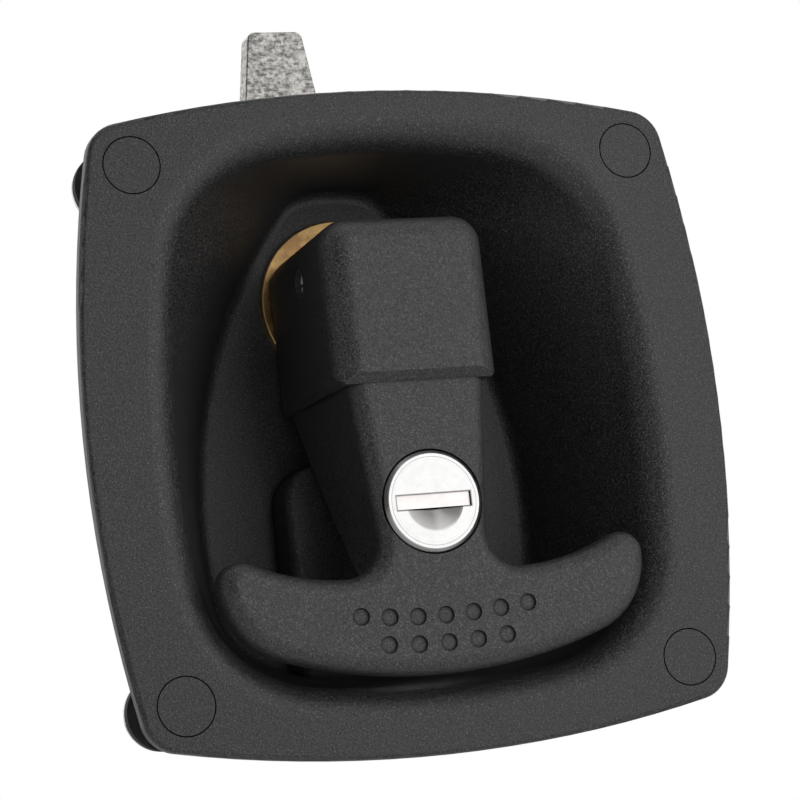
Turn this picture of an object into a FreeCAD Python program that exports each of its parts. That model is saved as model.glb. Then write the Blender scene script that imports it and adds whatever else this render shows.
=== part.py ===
import FreeCAD, Part
import math
import os
import re

import Sketcher

# Recessed folding T-handle latch: a cast dish with a square flange, a whale-tail handle that lifts on a cross
# pin and then turns a spindle with a cam, and a key lock in the handle's stem.
# Millimetres. X is to the right, Z is up, the front faces -Y. The origin is the centre of the fixing studs'
# pattern on the flange's rear face.

doc = FreeCAD.newDocument("latch")
dims = doc.addObject("Spreadsheet::Sheet", "Dims")

SIZES = [
    # flange
    ("plate_half", 63.5, "mid-side to centre of the square flange"),
    ("plate_side_arc", 260.0, "radius of the flange's bowed sides"),
    ("plate_corner", 7.0, "corner radius of the flange"),
    ("plate_t", 3.0, "thickness of the flange"),
    ("plate_edge", 0.9, "rounding of the flange's front edge"),
    # dish
    ("wall", 3.0, "wall of the cast dish"),
    ("dish_depth", 36.0, "flange front to dish floor"),
    ("side_band", 16.2, "flange's side to the dish's side, without the rolled edge"),
    ("top_band", 11.1, "flange's top to the dish's top"),
    ("foot_band", 12.5, "flange's bottom to the dish's bottom"),
    ("mouth_side_arc", 260.0, "bow of the dish's sides at the flange"),
    ("mouth_end_arc", 170.0, "bow of the dish's top and bottom at the flange"),
    ("mouth_corner", 24.0, "corner radius of the dish at the flange"),
    ("side_draft", 13.3, "how far each side of the dish leans in to the floor"),
    ("top_draft", 0.2, "how far the top of the dish leans in to the floor"),
    ("foot_draft", 6.0, "how far the bottom of the dish leans in to the floor"),
    ("floor_side_arc", 97.0, "bow of the floor's sides"),
    ("floor_end_arc", 22.0, "bow of the floor's top"),
    ("floor_foot_arc", 170.0, "bow of the floor's bottom"),
    ("floor_widest", 15.0, "how far below the centre the floor is widest"),
    ("floor_shoulder", 10.0, "radius of the floor's upper corners"),
    ("floor_corner", 16.0, "radius of the floor's lower corners"),
    ("floor_fillet", 2.5, "rounding between wall and floor"),
    ("roll", 6.5, "radius of the rolled edge round the dish"),
    # keeper tower on the floor
    ("tower_half", 19.0, "half width of the keeper tower"),
    ("tower_over", 12.6, "lock axis to the tower's top"),
    ("tower_depth", 26.0, "flange front to the tower's front"),
    ("tower_corner", 8.0, "corner radius of the tower"),
    ("tower_edge", 2.0, "rounding of the tower's front edge"),
    ("tower_sink", 2.2, "how far the tower's foot runs into the dish's lower wall"),
    ("tower_wall", 3.0, "front wall of the tower"),
    ("tower_side", 4.0, "side walls of the tower"),
    ("window_shift", 8.5, "room in the window for the handle as it swings out"),
    # fixing studs
    ("stud_inset", 13.5, "flange's side to a fixing stud's axis"),
    ("stud_r", 3.0, "radius of the stud's plain shank"),
    ("stud_neck_r", 3.3, "radius of the stud in the flange"),
    ("stud_shank", 12.6, "flange rear to the end of the stud's plain shank"),
    ("stud_thread_r", 2.68, "mean radius of the stud's thread"),
    ("stud_head_r", 5.3, "radius of the stud's flush head"),
    ("stud_head_t", 1.6, "thickness of the stud's flush head"),
    ("stud_seam", 0.25, "hairline gap round the stud's head"),
    ("stud_length", 24.0, "flange rear to the stud's end"),
    ("stud_tip", 0.9, "bevel of the stud's end"),
    ("washer_at", 13.2, "flange rear to the sealing washer as supplied"),
    ("seal_r", 7.1, "radius of the rubber sealing washer"),
    ("seal_t", 2.2, "thickness of the rubber sealing washer"),
    ("washer_r", 7.0, "radius of the steel washer"),
    ("washer_t", 1.3, "thickness of the steel washer"),
    ("nut_flats", 10.0, "across flats of the stud's nut"),
    ("nut_t", 5.0, "height of the stud's nut"),
    # spindle
    ("spindle_up", 28.9, "spindle axis above the centre"),
    ("spindle_r", 8.5, "radius of the spindle's journal"),
    ("run_gap", 0.05, "radial running clearance"),
    ("seat_gap", 0.02, "clearance between pieces that seat on each other"),
    ("square_flats", 11.5, "across flats of the spindle's square"),
    ("thread_r", 4.7, "mean radius of the spindle's thread"),
    ("bush_r", 10.5, "outer radius of the spindle bush"),
    ("bush_flange_r", 13.0, "radius of the bush's flange"),
    ("bush_flange_t", 1.5, "thickness of the bush's flange"),
    ("boss_r", 14.0, "radius of the bearing boss"),
    ("boss_end", 46.0, "flange front to the boss's rear face"),
    ("ring_r", 0.9, "section radius of the spindle's sealing ring"),
    ("ring_at", 41.0, "flange front to the sealing ring"),
    ("groove_half", 1.15, "half width of the sealing ring's groove"),
    ("wear_r", 17.0, "radius of the wear washer"),
    ("wear_t", 1.6, "thickness of the wear washer"),
    ("wear_gap", 0.3, "clearance between the wear washer and the spindle"),
    ("wear_edge", 0.4, "rounding of the wear washer's edge"),
    ("thrust_t", 1.5, "thickness of the thrust washer"),
    ("stop_t", 2.5, "thickness of the quarter-turn stop plate"),
    ("stop_reach", 20.0, "spindle axis to the end of the stop plate's arm"),
    ("stop_arm_half", 4.0, "half width of the stop plate's arm"),
    ("lug_r", 2.5, "radius of the cast stop lugs"),
    ("lug_along", 14.6, "spindle axis to the lugs, along the arm"),
    ("stop_gap", 0.15, "clearance between the arm and a lug at its stop"),
    ("disc_r", 12.4, "radius of the thrust washer and the stop plate"),
    ("spring_r", 12.0, "outer radius of the disc springs"),
    ("spring_t", 1.5, "thickness of a disc spring"),
    ("cam_at", 59.0, "flange front to the cam's front face"),
    ("cam_t", 4.8, "thickness of the cam"),
    ("cam_reach", 64.1, "spindle axis to the cam's tip"),
    ("cam_hub_r", 15.0, "radius of the cam's round end"),
    ("cam_tip_half", 5.9, "half width of the cam's tip"),
    ("cam_corner", 1.8, "corner radius of the cam's tip"),
    ("cam_edge", 0.35, "rounding of the cam's edges"),
    ("cam_nip", 0.3, "how far the square ends inside the cam"),
    ("lock_washer_r", 8.6, "radius of the spring lock washer"),
    ("lock_washer_t", 2.0, "thickness of the spring lock washer"),
    ("cam_nut_flats", 17.0, "across flats of the cam's nut"),
    ("cam_nut_t", 8.0, "height of the cam's nut"),
    ("spindle_tail", 1.5, "how far the spindle ends past its nut"),
    ("tail_bevel", 1.2, "bevel of the spindle's end"),
    # spindle head and handle hub
    ("pin_depth", 13.2, "flange front to the pivot pin"),
    ("pin_r", 2.6, "outer radius of the roll pin"),
    ("pin_wall", 0.7, "wall of the roll pin"),
    ("pin_recess", 0.6, "how far the pin's ends lie inside the hub's sides"),
    ("tongue_half", 6.0, "half width of the spindle's tongue"),
    ("tongue_r", 6.0, "radius of the tongue's eye"),
    ("tongue_side_gap", 0.15, "clearance on each side of the tongue"),
    ("tongue_swing_gap", 0.5, "clearance round the tongue's eye"),
    ("hub_half", 16.4, "half width of the hub"),
    ("hub_over", 8.9, "spindle axis to the hub's top"),
    ("hub_under", 22.8, "spindle axis to the hub's bottom"),
    ("hub_proud", 5.7, "hub front ahead of the flange front"),
    ("hub_lean", 1.2, "how far each side of the hub leans in to its rear"),
    ("hub_rear", 33.8, "flange front to the hub's rear face"),
    ("hub_crown", 5.6, "radius of the hub's upper corners"),
    ("hub_corner", 5.2, "rounding of the hub's front edges"),
    ("hub_step", 1.8, "chamfer under the hub"),
    ("hub_heel", 6.0, "rounding of the hub's top rear edge"),
    # stem and whale-tail grip
    ("stem_proud", 3.85, "stem front ahead of the flange front"),
    ("stem_top_half", 13.9, "half width of the stem under the hub"),
    ("stem_waist_half", 10.8, "half width of the stem at its waist"),
    ("stem_waist_under", 6.7, "lock axis to the stem's waist"),
    ("stem_flare", 6.5, "radius of the flare from stem to grip"),
    ("stem_rear_half", 12.8, "half width of the stem's rear"),
    ("stem_upper_over", 10.8, "lock axis to the upper station of the stem's rear"),
    ("stem_upper_depth", 22.6, "flange front to the stem's rear at its upper station"),
    ("stem_lower_under", 1.2, "lock axis to the lower station of the stem's rear"),
    ("stem_lower_depth", 16.0, "flange front to the stem's rear at its lower station"),
    ("stem_core", 3.8, "stem front to the start of its rear part"),
    ("stem_tuck", 0.6, "how far the stem's rear part starts inside its front part"),
    ("cavity_half", 10.2, "half width of the stem's rear cavity"),
    ("cavity_high", 10.8, "half height of the stem's rear cavity"),
    ("grip_side_gap", 5.3, "dish's side to the grip's tip"),
    ("grip_sole_gap", 2.3, "dish's bottom to the grip's lowest point"),
    ("grip_sole_arc", 97.0, "radius of the grip's lower edge"),
    ("grip_tip_arc", 4.2, "radius of the grip's tips"),
    ("grip_brow_arc", 44.0, "hollow of the grip's upper edge"),
    ("grip_dip", 16.8, "how far out the grip's upper edge is lowest"),
    ("grip_high", 18.9, "the grip's height where its upper edge is lowest"),
    ("grip_t", 8.6, "thickness of the grip"),
    ("grip_edge", 3.2, "rounding of the grip's front edges"),
    ("grip_back_edge", 3.0, "rounding of the grip's rear edges"),
    ("dimple_r", 1.65, "radius of a grip dimple"),
    ("dimple_t", 0.45, "depth of a grip dimple"),
    ("dimple_upper_pitch", 5.5, "spacing of the upper dimples"),
    ("dimple_lower_pitch", 5.85, "spacing of the lower dimples"),
    ("dimple_upper_over", 10.65, "grip's lowest point to the middle upper dimple"),
    ("dimple_lower_over", 5.55, "grip's lowest point to the middle lower dimple"),
    ("dimple_arc", 138.0, "bow of the rows of dimples"),
    # key lock
    ("lock_over", 13.0, "lowest level of the grip's upper edge to the lock axis"),
    ("lock_r", 9.6, "radius of the lock's body"),
    ("lock_proud", 4.4, "lock face ahead of the flange front"),
    ("lock_gap", 0.3, "gap between the lock's head and the stem"),
    ("lock_bevel", 0.7, "bevel of the lock's rim"),
    ("lock_seat", 10.5, "flange front to the lock's shoulder"),
    ("lock_thread_r", 7.9, "radius of the lock's threaded tail"),
    ("lock_web", 2.0, "stem wall that the lock is clamped to"),
    ("lock_nut_r", 9.7, "radius of the lock's ring nut"),
    ("lock_nut_t", 2.5, "thickness of the lock's nut"),
    ("lock_end", 16.6, "flange front to the end of the lock's body"),
    ("plug_r", 8.3, "radius of the key plug's head"),
    ("plug_tail_r", 6.2, "radius of the key plug behind the head"),
    ("plug_head_end", 9.0, "flange front to the end of the plug's head"),
    ("plug_gap", 0.06, "radial clearance of the key plug"),
    ("keyway_half", 7.35, "half width of the keyway's mouth"),
    ("keyway_high", 1.37, "half height of the keyway's mouth"),
    ("blade_half", 4.4, "half width of the keyway behind the shutter"),
    ("blade_high", 1.2, "half height of the keyway behind the shutter"),
    ("scoop_r", 5.8, "radius of the half-moon scoop under the keyway"),
    ("scoop_t", 1.6, "depth of the scoop's cone"),
    ("shutter_t", 0.5, "thickness of the dust shutter"),
    ("shutter_room", 5.0, "depth of the room that the dust shutter opens into"),
    ("shutter_set", 0.5, "lock face to the dust shutter"),
    ("shutter_gap", 0.12, "clearance round the dust shutter"),
    ("shutter_pin_r", 0.4, "radius of the shutter's hinge wire"),
    ("wafer_t", 0.9, "thickness of a wafer"),
    ("wafer_pitch", 1.7, "spacing of the wafers"),
    ("wafer_count", 5.0, "number of wafers"),
    ("wafer_half", 5.5, "half length of a wafer"),
    ("wafer_high", 2.3, "half height of a wafer"),
    ("wafer_gap", 0.06, "clearance round a wafer"),
    ("wafer_start", 4.6, "flange front to the first wafer"),
    ("tail_half", 2.5, "half width of the plug's square tail"),
    ("finger_depth", 29.2, "flange front to the locking finger"),
    ("finger_t", 2.6, "thickness of the locking finger"),
    ("finger_reach", 11.0, "lock axis to the locking finger's end"),
    ("finger_half", 3.0, "half width of the locking finger"),
    ("finger_eye_r", 4.8, "radius of the locking finger's eye"),
    ("finger_gap", 1.2, "clearance round the finger in its window"),
    ("screw_r", 1.5, "radius of the finger's screw"),
    ("screw_length", 6.9, "length of the finger's screw under its head"),
    ("screw_head_r", 2.8, "radius of the finger screw's head"),
    ("screw_head_t", 1.6, "height of the finger screw's head"),
]

for row, (alias, size, note) in enumerate(SIZES, 1):
    dims.set(f"A{row}", note)
    dims.set(f"B{row}", str(size))
    dims.setAlias(f"B{row}", alias)
doc.recompute()

ALIASES = {alias for alias, _, _ in SIZES}

# Planes along the depth, from the flange's rear face
FRONT = "(-plate_t)"
FLOOR = "(dish_depth - plate_t)"
FLOOR_REAR = "(dish_depth - plate_t + wall)"
TOWER_FRONT = "(tower_depth - plate_t)"
BOSS_END = "(boss_end - plate_t)"
PIN_Y = "(pin_depth - plate_t)"
WEAR_FRONT = "(dish_depth - plate_t - wear_t)"
HUB_FRONT = "(-plate_t - hub_proud)"
HUB_REAR = "(hub_rear - plate_t)"
STEM_FRONT = "(-plate_t - stem_proud)"
GRIP_REAR = "(grip_t - plate_t - stem_proud)"
CAM_FRONT = "(cam_at - plate_t)"
CAM_REAR = "(cam_at - plate_t + cam_t)"
NUT_FRONT = "(cam_at - plate_t + cam_t + lock_washer_t)"
NUT_REAR = "(cam_at - plate_t + cam_t + lock_washer_t + cam_nut_t)"
STOP_FRONT = "(boss_end - plate_t + bush_flange_t + thrust_t)"
STOP_REAR = "(boss_end - plate_t + bush_flange_t + thrust_t + stop_t)"
LOCK_FACE = "(-plate_t - lock_proud)"
LOCK_SEAT = "(lock_seat - plate_t)"
LOCK_WEB_REAR = "(lock_seat - plate_t + lock_web)"
LOCK_END = "(lock_end - plate_t)"
PLUG_HEAD_END = "(plug_head_end - plate_t)"
FINGER_FRONT = "(finger_depth - plate_t)"
FINGER_REAR = "(finger_depth - plate_t + finger_t)"
SHUTTER_Y = "(-plate_t - lock_proud + shutter_set)"

# Widths and heights that follow from the flange inwards, and levels that follow from the spindle
MOUTH_HALF = "(plate_half - side_band)"
MOUTH_TOP = "(plate_half - top_band)"
MOUTH_BOTTOM = "(plate_half - foot_band)"
FLOOR_HALF = "(plate_half - side_band - side_draft)"
FLOOR_TOP = "(plate_half - top_band - top_draft)"
FLOOR_BOTTOM = "(plate_half - foot_band - foot_draft)"
STUD_AT = "(plate_half - stud_inset)"
GRIP_HALF = f"({MOUTH_HALF} - grip_side_gap)"
GRIP_BOTTOM = f"({MOUTH_BOTTOM} - grip_sole_gap)"
DIP_DOWN = f"({GRIP_BOTTOM} - grip_high)"
LOCK_DOWN = f"({DIP_DOWN} - lock_over)"
WAIST_DOWN = f"({LOCK_DOWN} + stem_waist_under)"
TOWER_TOP = f"(tower_over - {LOCK_DOWN})"
TOWER_FOOT = f"(-{FLOOR_BOTTOM} - tower_sink)"
HUB_TOP = "(spindle_up + hub_over)"
HUB_BOTTOM = "(spindle_up - hub_under)"

# How far a cut runs past the material
PAST = "2"

DISC_SPRINGS = 3


def bound(text):
    """The expression with each size named as a cell of the sheet."""
    return re.sub(r"[A-Za-z_]+", lambda m: f"Dims.{m[0]}" if m[0] in ALIASES else m[0], text)


def val(text):
    """The expression's present value."""
    return float(dims.evalExpression(text))


def new_body(name):
    return doc.addObject("PartDesign::Body", name)


def new_sketch(body, name, axis, level):
    """A sketch square to an axis of the body, at a level along it.

    Its x and y are X and Z for axis Y, Y and Z for axis X, X and Y for axis Z.
    """
    role = {"X": "YZ_Plane", "Y": "XZ_Plane", "Z": "XY_Plane"}[axis]
    plane = next(f for f in body.Origin.OriginFeatures if f.Role == role)
    sketch = body.newObject("Sketcher::SketchObject", name)
    sketch.AttachmentSupport = [(plane, "")]
    sketch.MapMode = "FlatFace"
    sign = "-" if axis == "Y" else ""
    sketch.setExpression("AttachmentOffset.Base.z", bound(f"{sign}({level})"))
    return sketch


def fix_point(sketch, geometry, position, x, y):
    """Hold a point of a sketch at two expressions."""
    for kind, other_axis, text in (("DistanceX", -2, x), ("DistanceY", -1, y)):
        if text == "0":
            sketch.addConstraint(Sketcher.Constraint("PointOnObject", geometry, position, other_axis))
            continue
        index = sketch.addConstraint(Sketcher.Constraint(kind, -1, 1, geometry, position, val(text)))
        sketch.setExpression(f"Constraints[{index}]", bound(text))


def arc_between(start, end, radius, side):
    """An arc from start to end whose centre is on the left (side 1) or the right (side -1)."""
    dx, dy = end[0] - start[0], end[1] - start[1]
    chord = math.hypot(dx, dy)
    rise = math.sqrt(max(radius**2 - chord**2 / 4, 0))
    cx = (start[0] + end[0]) / 2 - side * dy / chord * rise
    cy = (start[1] + end[1]) / 2 + side * dx / chord * rise
    first, last = (start, end) if side > 0 else (end, start)
    angles = [math.atan2(p[1] - cy, p[0] - cx) for p in (first, last)]
    circle = Part.Circle(FreeCAD.Vector(cx, cy, 0), FreeCAD.Vector(0, 0, 1), radius)
    return Part.ArcOfCircle(circle, *angles)


def outline(sketch, corners):
    """A closed outline. A corner is (x, y) or (x, y, radius, side), whose arc leads to the next corner."""
    points = [(val(c[0]), val(c[1])) for c in corners]
    ends = []
    for i, corner in enumerate(corners):
        start, end = points[i], points[(i + 1) % len(points)]
        if len(corner) == 2:
            line = Part.LineSegment(FreeCAD.Vector(*start, 0), FreeCAD.Vector(*end, 0))
            ends.append((sketch.addGeometry(line, False), 1, 2))
            continue
        radius, side = corner[2:]
        arc = sketch.addGeometry(arc_between(start, end, val(radius), side), False)
        ends.append((arc, 1, 2) if side > 0 else (arc, 2, 1))
        index = sketch.addConstraint(Sketcher.Constraint("Radius", arc, val(radius)))
        sketch.setExpression(f"Constraints[{index}]", bound(radius))
    for i, (edge, _, last) in enumerate(ends):
        following = ends[(i + 1) % len(ends)]
        sketch.addConstraint(Sketcher.Constraint("Coincident", edge, last, following[0], following[1]))
    for (edge, first, _), corner in zip(ends, corners):
        fix_point(sketch, edge, first, corner[0], corner[1])


def circle(sketch, x, y, radius):
    shape = Part.Circle(FreeCAD.Vector(val(x), val(y), 0), FreeCAD.Vector(0, 0, 1), val(radius))
    edge = sketch.addGeometry(shape, False)
    index = sketch.addConstraint(Sketcher.Constraint("Radius", edge, val(radius)))
    sketch.setExpression(f"Constraints[{index}]", bound(radius))
    fix_point(sketch, edge, 3, x, y)


def rectangle(x0, x1, y0, y1):
    return [(x0, y0), (x1, y0), (x1, y1), (x0, y1)]


def slab(body, name, axis, low, high, corners=None, circles=(), cut=False):
    """Material, or a cut, of one outline between two levels along an axis."""
    sketch = new_sketch(body, name + "_sketch", axis, f"({low} + {high}) / 2")
    if corners:
        outline(sketch, corners)
    for spot in circles:
        circle(sketch, *spot)
    feature = body.newObject("PartDesign::Pocket" if cut else "PartDesign::Pad", name)
    feature.Profile = sketch
    feature.SideType = "Symmetric"
    feature.setExpression("Length", bound(f"{high} - ({low})"))
    sketch.Visibility = False
    doc.recompute()
    return feature


def turned(body, name, profile, cut=False, angle=360):
    """A turn of a profile of (depth, radius) corners about the body's Y axis, the same to both sides."""
    sketch = new_sketch(body, name + "_sketch", "X", "0")
    outline(sketch, profile)
    feature = body.newObject("PartDesign::Groove" if cut else "PartDesign::Revolution", name)
    feature.Profile = sketch
    feature.ReferenceAxis = (sketch, ["H_Axis"])
    feature.Angle = angle
    feature.Midplane = angle < 360
    sketch.Visibility = False
    doc.recompute()
    return feature


def tube_profile(low, high, inner, outer):
    return [(low, inner), (high, inner), (high, outer), (low, outer)]


def fillet(body, name, base, radius, wanted, kind="PartDesign::Fillet"):
    """Round, or chamfer, the edges of the base that the test picks."""
    edges = [f"Edge{i}" for i, edge in enumerate(base.Shape.Edges, 1) if wanted(edge)]
    if not edges:
        raise RuntimeError(f"{name} finds no edge")
    feature = body.newObject(kind, name)
    feature.Base = (base, edges)
    feature.setExpression("Radius" if kind == "PartDesign::Fillet" else "Size", bound(radius))
    doc.recompute()
    return feature


def near(a, b, tolerance=0.02):
    return abs(a - b) < tolerance


def in_plane(edge, axis, level):
    """Whether an edge lies in the plane at this level along an axis."""
    box = edge.BoundBox
    low, high = {"X": (box.XMin, box.XMax), "Y": (box.YMin, box.YMax), "Z": (box.ZMin, box.ZMax)}[axis]
    return near(low, level) and near(high, level)


def place(body, x="0", y="0", z="0"):
    for axis, text in zip("xyz", (x, y, z)):
        body.setExpression(f"Placement.Base.{axis}", bound(text))


def hexagon(flats):
    """Corners of a hexagon with its flats above and below."""
    side = f"({flats} / sqrt(3))"
    return [
        (f"{side}", "0"),
        (f"{side} / 2", f"{flats} / 2"),
        (f"-{side} / 2", f"{flats} / 2"),
        (f"-{side}", "0"),
        (f"-{side} / 2", f"-{flats} / 2"),
        (f"{side} / 2", f"-{flats} / 2"),
    ]


def ring(sketch, sides, corners):
    """Four bowed sides joined by tangent corner arcs, symmetrical about X.

    sides: right, top, left and bottom as (centre x, centre y, radius).
    corners: the radius of the two upper corners and that of the two lower ones.
    """
    arcs = []
    numbers = [tuple(val(text) for text in side) for side in sides]
    radii = [corners[0], corners[0], corners[1], corners[1]]
    centres = []
    for i, text in enumerate(radii):
        (ax, ay, ar), (bx, by, br) = numbers[i], numbers[(i + 1) % 4]
        corner = val(text)
        quadrant = ((1, 1), (-1, 1), (-1, -1), (1, -1))[i]
        centres.append(circle_meet((ax, ay, ar - corner), (bx, by, br - corner), quadrant))
    for i in range(4):
        before, after = centres[i - 1], centres[i]
        arcs.append((numbers[i], before, after, sides[i][2]))
        corner = (*centres[i], val(radii[i]))
        arcs.append((corner, numbers[i], numbers[(i + 1) % 4], radii[i]))
    edges = []
    for index, ((cx, cy, radius), first, last, _) in enumerate(arcs):
        if index % 2 == 0:
            start, end = [math.atan2(p[1] - cy, p[0] - cx) for p in (first, last)]
        else:
            start, end = [math.atan2(cy - p[1], cx - p[0]) for p in (first, last)]
        shape = Part.Circle(FreeCAD.Vector(cx, cy, 0), FreeCAD.Vector(0, 0, 1), radius)
        edges.append(sketch.addGeometry(Part.ArcOfCircle(shape, start, end), False))
    for i, edge in enumerate(edges):
        sketch.addConstraint(Sketcher.Constraint("Tangent", edge, 2, edges[(i + 1) % len(edges)], 1))
        index = sketch.addConstraint(Sketcher.Constraint("Radius", edge, arcs[i][0][2]))
        sketch.setExpression(f"Constraints[{index}]", bound(arcs[i][3]))
    for i, side in enumerate(sides):
        fix_point(sketch, edges[2 * i], 3, side[0], side[1])


def circle_meet(a, b, quadrant):
    """Where two circles (x, y, radius) meet, taking the point furthest into a quadrant."""
    dx, dy = b[0] - a[0], b[1] - a[1]
    gap = math.hypot(dx, dy)
    along = (a[2] ** 2 - b[2] ** 2 + gap**2) / (2 * gap)
    across = math.sqrt(a[2] ** 2 - along**2)
    mx, my = a[0] + along * dx / gap, a[1] + along * dy / gap
    found = [(mx - s * dy / gap * across, my + s * dx / gap * across) for s in (1, -1)]
    return max(found, key=lambda p: p[0] * quadrant[0] + p[1] * quadrant[1])


def bowed(half, top, bottom, side_arc, top_arc, bottom_arc, middle="0"):
    """The sides of a ring, from its extents and bows."""
    return [
        (f"{half} - {side_arc}", middle, side_arc),
        ("0", f"{top} - {top_arc}", top_arc),
        (f"{side_arc} - ({half})", middle, side_arc),
        ("0", f"{bottom_arc} - ({bottom})", bottom_arc),
    ]


def grown(side, grow):
    return (side[0], side[1], f"({side[2]} + {grow})")


PLATE = bowed("plate_half", "plate_half", "plate_half", "plate_side_arc", "plate_side_arc", "plate_side_arc")
MOUTH = bowed(MOUTH_HALF, MOUTH_TOP, MOUTH_BOTTOM, "mouth_side_arc", "mouth_end_arc", "mouth_end_arc")
DISH = bowed(
    FLOOR_HALF, FLOOR_TOP, FLOOR_BOTTOM, "floor_side_arc", "floor_end_arc", "floor_foot_arc", "-floor_widest"
)


def dish_loft(body, name, start, end, grow, kind):
    """The dish between two levels, from its mouth to its floor, each grown outwards."""
    first = new_sketch(body, name + "_mouth", "Y", start)
    ring(first, [grown(side, grow) for side in MOUTH], [f"mouth_corner + {grow}"] * 2)
    second = new_sketch(body, name + "_floor", "Y", end)
    ring(second, [grown(side, grow) for side in DISH], [f"floor_shoulder + {grow}", f"floor_corner + {grow}"])
    feature = body.newObject(kind, name)
    feature.Profile = first
    feature.Sections = [second]
    feature.Ruled = True
    doc.recompute()
    return feature


def four_corners():
    return [(f"{sx}{STUD_AT}", f"{sz}{STUD_AT}") for sx in ("", "-") for sz in ("", "-")]


def make_pan():
    """Cast dish with its flange, bearing boss and rolled edge."""
    body = new_body("pan")
    sketch = new_sketch(body, "plate_sketch", "Y", f"{FRONT} / 2")
    ring(sketch, PLATE, ["plate_corner"] * 2)
    plate = body.newObject("PartDesign::Pad", "plate")
    plate.Profile = sketch
    plate.SideType = "Symmetric"
    plate.setExpression("Length", bound("plate_t"))
    doc.recompute()
    front = val(FRONT)
    plate = fillet(body, "plate_round", plate, "plate_edge", lambda e: in_plane(e, "Y", front))
    outer = dish_loft(body, "dish_outer", f"{FRONT} / 2", FLOOR_REAR, "wall", "PartDesign::AdditiveLoft")
    rear = val(FLOOR_REAR)
    outer = fillet(body, "dish_heel", outer, "floor_fillet + wall", lambda e: in_plane(e, "Y", rear))
    inside = val(f"{MOUTH_HALF} + wall + roll")
    outer = fillet(
        body,
        "dish_collar",
        outer,
        "roll - wall",
        lambda e: in_plane(e, "Y", 0) and max(abs(e.BoundBox.XMax), abs(e.BoundBox.XMin)) < inside
        and max(abs(e.BoundBox.ZMax), abs(e.BoundBox.ZMin)) < inside,
    )
    slab(body, "bearing_boss", "Y", FLOOR, BOSS_END, circles=[("0", "spindle_up", "boss_r")])
    inner = dish_loft(body, "dish_inner", FRONT, FLOOR, "0", "PartDesign::SubtractiveLoft")
    floor = val(FLOOR)
    inner = fillet(body, "dish_corner", inner, "floor_fillet", lambda e: in_plane(e, "Y", floor))
    inner = fillet(
        body,
        "rolled_edge",
        inner,
        "roll",
        lambda e: in_plane(e, "Y", front) and max(e.BoundBox.XMax, -e.BoundBox.XMin) < val(MOUTH_HALF) + 1
        and max(e.BoundBox.ZMax, -e.BoundBox.ZMin) < val(MOUTH_TOP) + 1,
    )
    return body


def add_tower(body):
    """Keeper tower on the dish floor, with the window and the chamber that the lock's finger turns in."""
    top, foot, corner = TOWER_TOP, TOWER_FOOT, "tower_corner"
    pad = slab(
        body,
        "tower",
        "Y",
        TOWER_FRONT,
        f"{FLOOR} + wall / 2",
        [
            ("-tower_half", foot),
            ("tower_half", foot),
            ("tower_half", f"{top} - {corner}", corner, 1),
            (f"tower_half - {corner}", top),
            (f"{corner} - tower_half", top, corner, 1),
            ("-tower_half", f"{top} - {corner}"),
        ],
    )
    level, lowest = val(TOWER_FRONT), val(f"{foot} + {corner}")
    fillet(
        body, "tower_round", pad, "tower_edge", lambda e: in_plane(e, "Y", level) and e.BoundBox.ZMax > lowest
    )
    reach = f"-{LOCK_DOWN} - finger_reach - finger_gap * 2"
    over = f"-{LOCK_DOWN} + finger_half * 2 + finger_gap"
    window = rectangle("-finger_half - finger_gap * 2", "finger_half + window_shift", reach, over)
    slab(body, "finger_window", "Y", f"{TOWER_FRONT} - {PAST}", f"{FLOOR}", window, cut=True)
    side = "(tower_half - tower_side)"
    chamber = rectangle(f"-{side}", side, f"{foot} + tower_side * 2", f"{top} - tower_side")
    chamber_front, past_floor = f"{TOWER_FRONT} + tower_wall", f"{FLOOR_REAR} + {PAST}"
    slab(body, "finger_chamber", "Y", chamber_front, past_floor, chamber, cut=True)


def lug_spot(side):
    across = "(lug_r + stop_arm_half + stop_gap)"
    return f"{side}(lug_along + {across}) / sqrt(2)", f"spindle_up - (lug_along - {across}) / sqrt(2)"


def add_bores(body):
    """Stop lugs, the spindle's bore and the seats of the flush stud heads."""
    lugs = [(*lug_spot(side), "lug_r") for side in ("", "-")]
    slab(body, "stop_lugs", "Y", f"{FLOOR} + wall / 2", f"{STOP_REAR} + seat_gap", circles=lugs)
    bush = [("0", "spindle_up", "bush_r")]
    slab(body, "bush_bore", "Y", f"{FLOOR} - {PAST}", f"{BOSS_END} + {PAST}", circles=bush, cut=True)
    heads = [(x, z, "stud_head_r + stud_seam") for x, z in four_corners()]
    slab(body, "head_seats", "Y", f"{FRONT} - {PAST}", f"{FRONT} + stud_head_t", circles=heads, cut=True)
    necks = [(x, z, "stud_neck_r + seat_gap") for x, z in four_corners()]
    slab(body, "stud_holes", "Y", f"{FRONT} - {PAST}", PAST, circles=necks, cut=True)


def four_of(body, name):
    """The piece at the upper right stud and its mirror images at the other three."""
    mirrored = doc.addObject("Part::Mirroring", name + "_left")
    mirrored.Source = body
    mirrored.Normal = FreeCAD.Vector(1, 0, 0)
    pair = doc.addObject("Part::Compound", name + "_upper")
    pair.Links = [body, mirrored]
    lower = doc.addObject("Part::Mirroring", name + "_lower")
    lower.Source = pair
    lower.Normal = FreeCAD.Vector(0, 0, 1)
    group = doc.addObject("Part::Compound", name)
    group.Links = [pair, lower]
    return group


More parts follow.
